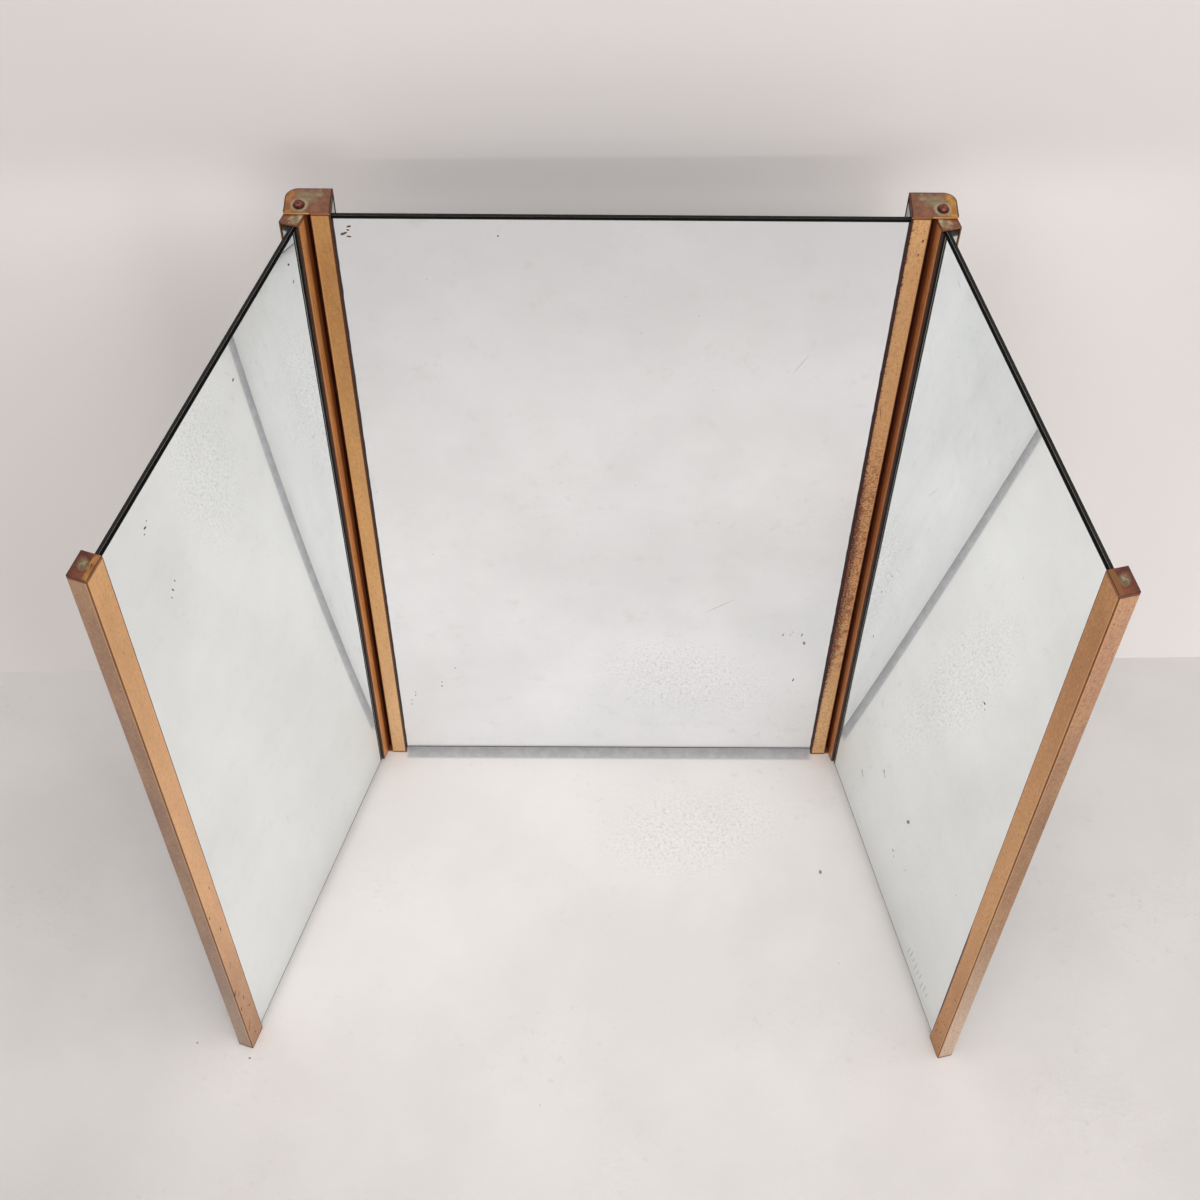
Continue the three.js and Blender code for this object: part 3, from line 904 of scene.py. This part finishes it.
def pick(bead, wanted):
    """Leave only the wanted edges of a mesh selected; each edge is told by its two ends."""
    bpy.ops.mesh.select_mode(type="EDGE")
    bpy.ops.mesh.select_all(action="DESELECT")
    bpy.ops.object.mode_set(mode="OBJECT")
    points = bead.data.vertices
    for edge in bead.data.edges:
        edge.select = wanted(*(points[index].co for index in edge.vertices))
    bpy.ops.object.mode_set(mode="EDIT")


def press_bead(bead, channel, free, glass_front, broad):
    """Cut the bar into strokes of the knife and press its long front corner down to the glass."""
    bpy.ops.object.mode_set(mode="EDIT")
    pick(bead, lambda first, last: abs(first.z - last.z) > BEAD_RISE)
    bpy.ops.mesh.subdivide(number_cuts=BEAD_RINGS)

    def in_front_corner(point):
        offset = point - channel.corner
        in_front = offset.dot(channel.back) < glass_front - BEAD_RISE / 2
        return in_front and offset.dot(channel.along) > free - 0.1 * MM

    pick(bead, lambda first, last: in_front_corner(first) and in_front_corner(last))
    bpy.ops.mesh.bevel(
        offset=min(BEAD_RISE, broad) * BEAD_PRESSED, offset_type="OFFSET", segments=3, profile=0.45,
    )
    bpy.ops.mesh.select_all(action="SELECT")
    bpy.ops.mesh.normals_make_consistent(inside=False)
    bpy.ops.object.mode_set(mode="OBJECT")


def unsettle_bead(bead, channel, lip, broad):
    """Let the free side wander; what lies against the lip stays straight."""
    loose = bead.vertex_groups.new(name=FREE_SIDE)
    for vertex in bead.data.vertices:
        out = (vertex.co - channel.corner).dot(channel.along) - lip
        loose.add([vertex.index], min(1.0, max(0.0, out / broad)), "REPLACE")
    strokes = bpy.data.textures.new(bead.name + "_strokes", "CLOUDS")
    strokes.noise_scale = KNIFE_STROKE
    for axis, share in zip("XY", channel.along[:2]):
        if abs(share) < 0.001:
            continue
        wander = bead.modifiers.new("wander_" + axis, "DISPLACE")
        wander.texture = strokes
        wander.texture_coords = "LOCAL"
        wander.direction = axis
        wander.vertex_group = FREE_SIDE
        wander.strength = BEAD_UNEVEN * broad * share
        wander.mid_level = 0.5
        bpy.ops.object.modifier_apply(modifier=wander.name)
    bead.vertex_groups.clear()


def make_bead(name, post, glass, body, material):
    """Hand-laid bead in the corner between the lip of a channel and the glass behind it."""
    channel = place_of(post)
    pane = place_of(glass)
    broad = BEAD_WIDTH[post.split("_")[-2]]
    lip = channel.size[0] + BEAD_GAP
    glass_front = (pane.corner - channel.corner).dot(channel.back) - BEAD_GAP
    foot = channel.corner.z
    bottom = max(foot, pane.corner.z) + BEAD_END - foot
    top = min(foot + channel.size[2], pane.corner.z + pane.size[2]) - BEAD_END - foot
    middle = channel.point(lip + broad / 2, glass_front - BEAD_RISE / 2, (bottom + top) / 2)

    bpy.ops.object.select_all(action="DESELECT")
    bpy.ops.mesh.primitive_cube_add(
        size=1, location=middle, rotation=(0, 0, channel.turn), scale=(broad, BEAD_RISE, top - bottom),
    )
    bead = bpy.context.active_object
    bead.name = name
    bpy.ops.object.transform_apply(location=True, rotation=True, scale=True)
    press_bead(bead, channel, lip + broad, glass_front, broad)
    unsettle_bead(bead, channel, lip, broad)
    bead.data.materials.append(material)
    bpy.ops.object.shade_smooth_by_angle(angle=math.radians(35))
    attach(bead, body)


def make_beads():
    putty = putty_finish()
    for side in ("left", "right"):
        post = f"{side}_centre_post"
        make_bead(f"{side}_centre_putty_bead", post, "centre_mirror_glass", "centre_panel", putty)
        wing = f"{side}_wing"
        for end in ("hinge", "outer"):
            post = f"{wing}_{end}_post"
            make_bead(f"{wing}_{end}_putty_bead", post, f"{wing}_mirror_glass", wing, putty)


# ---------------------------------------------------------------- camera
CAMERA_FROM_PINS = Vector((-0.0336, -1.5274, 2.5798))
CAMERA_DOWN = 55.09      # degrees below the horizon
CAMERA_YAW = 0.64        # degrees towards +X
CAMERA_ROLL = 0.84
PICTURE_SIDE = 1200
FOCAL_PIXELS = 1951.9
SENSOR = 36.0


def make_camera():
    data = bpy.data.cameras.new("camera")
    data.sensor_width = SENSOR
    data.lens = SENSOR * FOCAL_PIXELS / PICTURE_SIDE
    data.clip_start = 0.05
    data.clip_end = 60
    camera = bpy.data.objects.new("camera", data)
    bpy.context.scene.collection.objects.link(camera)
    turn = (
        Matrix.Rotation(math.radians(-CAMERA_YAW), 4, "Z")
        @ Matrix.Rotation(math.radians(90 - CAMERA_DOWN), 4, "X")
        @ Matrix.Rotation(math.radians(CAMERA_ROLL), 4, "Z")
    )
    camera.matrix_world = Matrix.Translation(PIN_MIDDLE + CAMERA_FROM_PINS) @ turn
    bpy.context.scene.camera = camera


# ---------------------------------------------------------------- floor, wall and light
FLOOR_SIDE = 24.0
STRIP_ACROSS = (-9 * MM, 24 * MM, 5 * MM)         # from the glass's front backwards, and softness
STRIP_END = 22 * MM                               # left free beside each post
PULLED_PLASTER = ((140, 92), (170, 95), 0.2)      # middle, half sizes in millimetres, turn
PAINT_DROPS = [((-478, -266), (2.2, 1.8)), ((330, 24), (2.6, 4.0)), ((-553, -244), (1.6, 1.6))]
WALL_BEHIND_PINS = 0.149
WALL_TURN = 1.24         # degrees
WALL_WIDTH = 14.0
WALL_HEIGHT = 5.0
SHADOW_BAND_TOP = 1.05        # top edge of the faint band on the wall, a painted shadow of the panel


def grey_strip(finish, rough):
    """No light comes back from under the centre mirror, so a strip beside it stays grey."""
    pane = place_of("centre_mirror_glass")
    along, back, up = finish.parts(finish.local(pane))
    path = finish.nodes.new("ShaderNodeLightPath")
    strip = finish.times(
        finish.band(finish.wobble(back, rough, 3 * MM), *STRIP_ACROSS),
        finish.band(along, STRIP_END, pane.size[0] - STRIP_END, 9 * MM),
        finish.math("LESS_THAN", path.outputs["Glossy Depth"], 1.5),
    )
    grey = finish.mix((178, 176, 179), (192, 190, 191), finish.step(rough, 0.42, 0.6))
    finish.coat(grey, finish.times(strip, 0.9))


def floor_paint():
    """Pale paint, scuffed in places, with a patch of pulled plaster and drops of other paint."""
    finish = Finish("floor_paint")
    here = finish.everywhere
    x, y, z = finish.parts(here)
    plane = finish.plane(x, y)
    cloud = finish.noise(here, 3, 4)
    rough = finish.noise(here, 55, 6, 0.72)
    fine = finish.noise(here, 340, 4, 0.7)
    torn = finish.noise(here, 230, 5, 0.75, offset=(3, 3, 0))
    scuffed = finish.step(finish.noise(here, 4.2, 3, offset=(1.3, 0.4, 0)), 0.48, 0.64)
    pulled = finish.mark(plane, *PULLED_PLASTER, 0.9, cloud, 1.2)
    finish.lay(finish.mix((236, 232, 229), (228, 224, 221), finish.step(cloud, 0.35, 0.65)))
    finish.coat((206, 202, 200), finish.times(finish.step(rough, 0.56, 0.7), scuffed, 0.45))
    finish.coat((150, 146, 142), finish.times(finish.pits(here, 26, 0.035, 0.1), 0.5))
    finish.coat((255, 253, 252), finish.times(pulled, finish.step(torn, 0.46, 0.38), 0.6))
    finish.coat((190, 186, 184), finish.times(pulled, finish.step(torn, 0.54, 0.62), 0.6))
    drops = finish.most(*(finish.mark(plane, spot, half) for spot, half in PAINT_DROPS))
    finish.coat((120, 78, 70), finish.times(drops, 0.8))

    # Painted shade: the floor is painted dimmer away from the mirrors, most of all to the left, where
    # the left wing's shadow falls.
    away = finish.times(finish.step(y, -0.1, -1.1), 0.8)
    beside = finish.times(finish.step(x, -0.1, -0.8), finish.step(y, -0.2, -0.6), 0.6)
    finish.coat((195, 191, 189), finish.most(away, beside))
    grey_strip(finish, rough)
    finish.set(Base_Color=finish.colour, Roughness=0.7, Specular_IOR_Level=0.25)
    scuffs = finish.times(rough, finish.math("ADD", scuffed, 0.3))
    height = finish.math("ADD", scuffs, finish.times(fine, 0.2))
    finish.bump(finish.math("ADD", height, finish.times(torn, pulled, 0.6)), 0.5, 0.0022)
    return finish.material


def make_floor():
    bpy.ops.mesh.primitive_plane_add(size=FLOOR_SIDE, location=(0, 0, 0))
    floor = bpy.context.active_object
    floor.name = "floor"
    floor.data.materials.append(floor_paint())


def wall_glow(finish, across, level):
    """How far the paint behind the panel glows, so that it is lit as evenly as the rest."""
    near = finish.times(finish.band(across, -0.55, 0.5, 0.35), finish.band(level, 0.1, 0.96, 0.14))
    behind = finish.times(finish.band(across, -0.4, 0.36, 0.14), finish.band(level, 0.6, 0.98, 0.1))
    more = finish.math("ADD", finish.times(near, 0.12), 0.012)
    return finish.math("ADD", finish.times(behind, 0.1), more)


def show_front_only(finish):
    """Leave the wall to the camera and the mirrors, and only from its front."""
    path = finish.nodes.new("ShaderNodeLightPath")
    geometry = finish.nodes.new("ShaderNodeNewGeometry")
    clear = finish.nodes.new("ShaderNodeBsdfTransparent")
    mixed = finish.nodes.new("ShaderNodeMixShader")
    seen = finish.most(path.outputs["Is Camera Ray"], path.outputs["Is Glossy Ray"])
    front = finish.inverse(geometry.outputs["Backfacing"])
    finish.put(mixed.inputs[0], finish.times(seen, front))
    finish.put(mixed.inputs[1], clear.outputs[0])
    finish.put(mixed.inputs[2], finish.skin.outputs[0])
    finish.put(finish.output.inputs["Surface"], mixed.outputs[0])


def wall_paint():
    finish = Finish("wall_paint")
    across, depth, level = finish.parts(finish.everywhere)
    # Painted light and shade: the paint is lighter towards the floor, against the shade near the panels,
    # and painted darker low on the left.
    finish.lay(finish.mix((246, 242, 240), (224, 219, 217), finish.step(level, 0.3, 1.3)))
    shaded = finish.times(finish.step(across, -0.1, -0.9), finish.step(level, 0.9, 0.1))
    finish.coat((200, 195, 193), finish.times(shaded, 0.3))
    # A faint band above the panel: the panel's shadow on the wall, painted.
    band = finish.times(
        finish.band(across, -0.2, 0.22, 0.12),
        finish.step(level, 0.98, 1.02),
        finish.step(level, SHADOW_BAND_TOP + 8 * MM, SHADOW_BAND_TOP),
    )
    finish.coat((190, 184, 182), finish.times(band, 0.3))
    finish.set(
        Base_Color=finish.colour,
        Roughness=0.9,
        Specular_IOR_Level=0.1,
        Emission_Color=rgb(255, 250, 247),
        Emission_Strength=wall_glow(finish, across, level),
    )
    finish.bump(finish.noise(finish.everywhere, 34, 6, 0.68), 0.3, 0.0014)
    show_front_only(finish)
    return finish.material


def make_wall():
    """A wall that is seen only from its front and in the mirrors, so it hides nothing from behind."""
    bpy.ops.mesh.primitive_plane_add(size=1)
    wall = bpy.context.active_object
    wall.name = "wall"
    wall.scale = (WALL_WIDTH, WALL_HEIGHT, 1)
    wall.rotation_euler = (math.radians(90), 0, math.radians(WALL_TURN))
    wall.location = PIN_MIDDLE + Vector((0, WALL_BEHIND_PINS, WALL_HEIGHT / 2))
    bpy.ops.object.transform_apply(location=True, rotation=True, scale=True)
    wall.data.materials.append(wall_paint())


def add_softbox(name, place, target, side, power, colour):
    data = bpy.data.lights.new(name, "AREA")
    data.shape = "SQUARE"
    data.size = side
    data.energy = power
    data.color = colour
    lamp = bpy.data.objects.new(name, data)
    bpy.context.scene.collection.objects.link(lamp)
    lamp.location = place
    lamp.rotation_euler = (Vector(target) - Vector(place)).to_track_quat("-Z", "Y").to_euler()


def make_light():
    add_softbox("window_light", (0.6, -4.0, 3.2), (0.1, 0, 0.2), 3.0, 70, (1.0, 0.985, 0.985))
    add_softbox("ceiling_light", (0.4, -1.5, 2.9), (0.1, 0, 0.2), 3.2, 37, (1.0, 0.99, 0.99))
    add_softbox("side_light", (2.4, -0.4, 2.4), (0.8, 0, 0), 1.6, 5, (1.0, 0.99, 0.99))
    world = bpy.data.worlds.new("room")
    world.use_nodes = True
    background = world.node_tree.nodes["Background"]
    background.inputs["Color"].default_value = (*rgb(242, 239, 238), 1)
    background.inputs["Strength"].default_value = 0.58
    bpy.context.scene.world = world


make_camera()
dress_the_frame()
make_beads()
make_floor()
make_wall()
make_light()
bpy.context.scene.view_settings.view_transform = "Standard"
